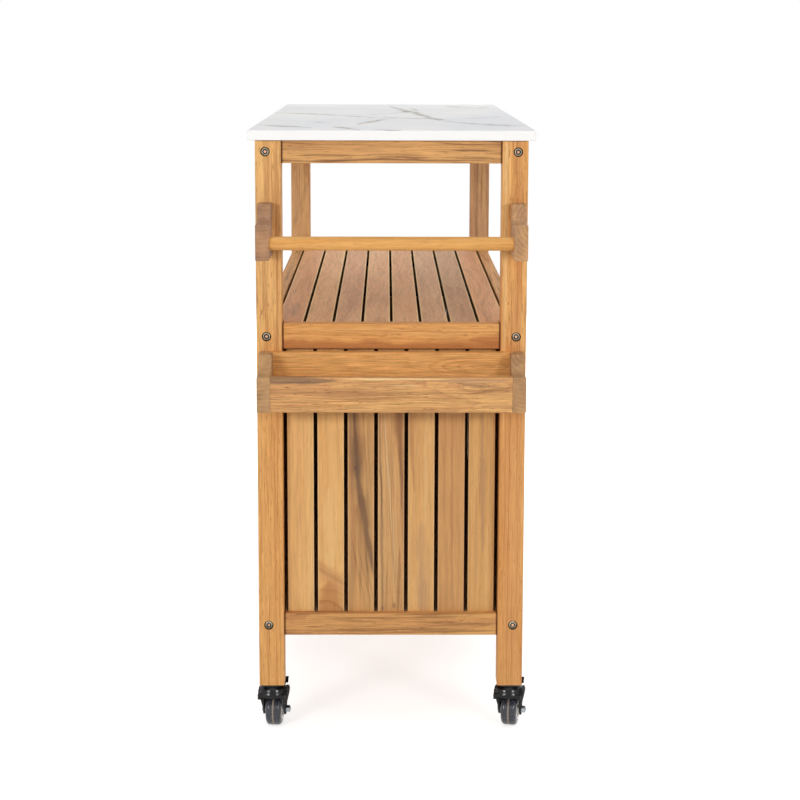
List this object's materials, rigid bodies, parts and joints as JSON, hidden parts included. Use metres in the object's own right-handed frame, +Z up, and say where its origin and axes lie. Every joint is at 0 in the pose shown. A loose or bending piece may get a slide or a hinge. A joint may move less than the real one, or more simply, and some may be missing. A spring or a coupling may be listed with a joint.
{
  "type": "outdoor bar cart",
  "caption": "Rolling wooden bar cart with a marble-look top, slatted shelf, boarded cabinet with doors, towel bar, spice rack and locking swivel casters.",
  "frame": {"origin": "centre of the cart's bounding box, on the floor under the wheels", "axes": "+Z up, +Y along the cart away from the towel bar end, +X towards the door side"},
  "size_m": [0.42, 1.13, 0.92],
  "materials": {
    "marble_top": "polished white marble look with faint grey veins",
    "acacia_posts": "oiled acacia, satin",
    "acacia_rails": "oiled acacia, satin",
    "acacia_slats": "oiled acacia, satin",
    "acacia_decks": "oiled acacia, satin",
    "acacia_door_frames": "oiled acacia, satin",
    "acacia_rack": "oiled acacia, satin",
    "acacia_bar": "oiled acacia dowel, satin",
    "zinc_steel": "zinc plated",
    "hinge_steel": "satin nickel",
    "black_fork": "gloss black",
    "cream_hub": "cream moulding",
    "black_tyre": "satin black tread",
    "black_pedal": "black moulding"
  },
  "bodies": {
    "frame": {"countertop": "marble_top", "near_right_post": "acacia_posts", "near_left_post": "acacia_posts", "far_right_post": "acacia_posts", "far_left_post": "acacia_posts", "near_top_rail": "acacia_rails", "far_top_rail": "acacia_rails", "right_top_rail": "acacia_rails", "left_top_rail": "acacia_rails", "near_middle_rail": "acacia_rails", "far_middle_rail": "acacia_rails", "right_middle_rail": "acacia_rails", "left_middle_rail": "acacia_rails", "near_bottom_rail": "acacia_rails", "far_bottom_rail": "acacia_rails", "right_bottom_rail": "acacia_rails", "left_bottom_rail": "acacia_rails", "end_panel_slats": "acacia_slats", "back_panel_boards": "acacia_slats", "shelf_slats": "acacia_decks", "cabinet_floor_slats": "acacia_decks", "slat_battens": "acacia_decks", "frame_bolts_and_nuts": "zinc_steel", "towel_brackets": "acacia_rack", "towel_bar": "acacia_bar", "rack_sides": "acacia_rack", "rack_front": "acacia_rack", "rack_back": "acacia_rack", "rack_floor": "acacia_rack", "bracket_screws": "zinc_steel", "post_hinges_and_catch": "hinge_steel", "caster_stems": "black_fork"},
    "near_door": {"near_door_frame": "acacia_door_frames", "near_door_boards": "acacia_slats", "near_door_knob": "acacia_door_frames", "near_door_hinges_and_strike": "hinge_steel"},
    "far_door": {"far_door_frame": "acacia_door_frames", "far_door_boards": "acacia_slats", "far_door_knob": "acacia_door_frames", "far_door_hinges_and_strike": "hinge_steel"},
    "near_left_caster": {"near_left_fork": "black_fork", "near_left_axle": "zinc_steel"},
    "near_left_wheel": {"near_left_hub": "cream_hub", "near_left_tyre": "black_tyre"},
    "near_left_pedal": {"near_left_brake_pedal": "black_pedal"},
    "near_right_caster": {"near_right_fork": "black_fork", "near_right_axle": "zinc_steel"},
    "near_right_wheel": {"near_right_hub": "cream_hub", "near_right_tyre": "black_tyre"},
    "near_right_pedal": {"near_right_brake_pedal": "black_pedal"},
    "far_left_caster": {"far_left_fork": "black_fork", "far_left_axle": "zinc_steel"},
    "far_left_wheel": {"far_left_hub": "cream_hub", "far_left_tyre": "black_tyre"},
    "far_left_pedal": {"far_left_brake_pedal": "black_pedal"},
    "far_right_caster": {"far_right_fork": "black_fork", "far_right_axle": "zinc_steel"},
    "far_right_wheel": {"far_right_hub": "cream_hub", "far_right_tyre": "black_tyre"},
    "far_right_pedal": {"far_right_brake_pedal": "black_pedal"}
  },
  "joints": [
    {"name": "near_door_swing", "type": "hinge", "parent": "frame", "child": "near_door", "pos_m": [0.1933, -0.4437, 0.39175], "axis": [0, 0, -1], "range_deg": [0, 110]},
    {"name": "far_door_swing", "type": "hinge", "parent": "frame", "child": "far_door", "pos_m": [0.1933, 0.5137, 0.39175], "axis": [0, 0, 1], "range_deg": [0, 110]},
    {"name": "near_left_swivel", "type": "hinge", "parent": "frame", "child": "near_left_caster", "pos_m": [-0.181, -0.466, 0.0555], "axis": [0, 0, 1], "continuous": true},
    {"name": "near_left_roll", "type": "hinge", "parent": "near_left_caster", "child": "near_left_wheel", "pos_m": [-0.17908, -0.44609, 0.025], "axis": [0.9954, -0.0958, 0], "continuous": true},
    {"name": "near_left_brake", "type": "hinge", "parent": "near_left_caster", "child": "near_left_pedal", "pos_m": [-0.17803, -0.43514, 0.053], "axis": [-0.9954, 0.0958, 0], "range_deg": [0, 18]},
    {"name": "near_right_swivel", "type": "hinge", "parent": "frame", "child": "near_right_caster", "pos_m": [0.181, -0.466, 0.0555], "axis": [0, 0, 1], "continuous": true},
    {"name": "near_right_roll", "type": "hinge", "parent": "near_right_caster", "child": "near_right_wheel", "pos_m": [0.18533, -0.44647, 0.025], "axis": [0.9763, -0.2164, 0], "continuous": true},
    {"name": "near_right_brake", "type": "hinge", "parent": "near_right_caster", "child": "near_right_pedal", "pos_m": [0.18771, -0.43573, 0.053], "axis": [-0.9763, 0.2164, 0], "range_deg": [0, 18]},
    {"name": "far_left_swivel", "type": "hinge", "parent": "frame", "child": "far_left_caster", "pos_m": [-0.181, 0.536, 0.0555], "axis": [0, 0, 1], "continuous": true},
    {"name": "far_left_roll", "type": "hinge", "parent": "far_left_caster", "child": "far_left_wheel", "pos_m": [-0.17684, 0.51644, 0.025], "axis": [-0.9781, -0.2079, 0], "continuous": true},
    {"name": "far_left_brake", "type": "hinge", "parent": "far_left_caster", "child": "far_left_pedal", "pos_m": [-0.17455, 0.50568, 0.053], "axis": [0.9781, 0.2079, 0], "range_deg": [0, 18]},
    {"name": "far_right_swivel", "type": "hinge", "parent": "frame", "child": "far_right_caster", "pos_m": [0.181, 0.536, 0.0555], "axis": [0, 0, 1], "continuous": true},
    {"name": "far_right_roll", "type": "hinge", "parent": "far_right_caster", "child": "far_right_wheel", "pos_m": [0.17891, 0.51611, 0.025], "axis": [-0.9945, 0.1045, 0], "continuous": true},
    {"name": "far_right_brake", "type": "hinge", "parent": "far_right_caster", "child": "far_right_pedal", "pos_m": [0.17776, 0.50517, 0.053], "axis": [0.9945, -0.1045, 0], "range_deg": [0, 18]}
  ]
}
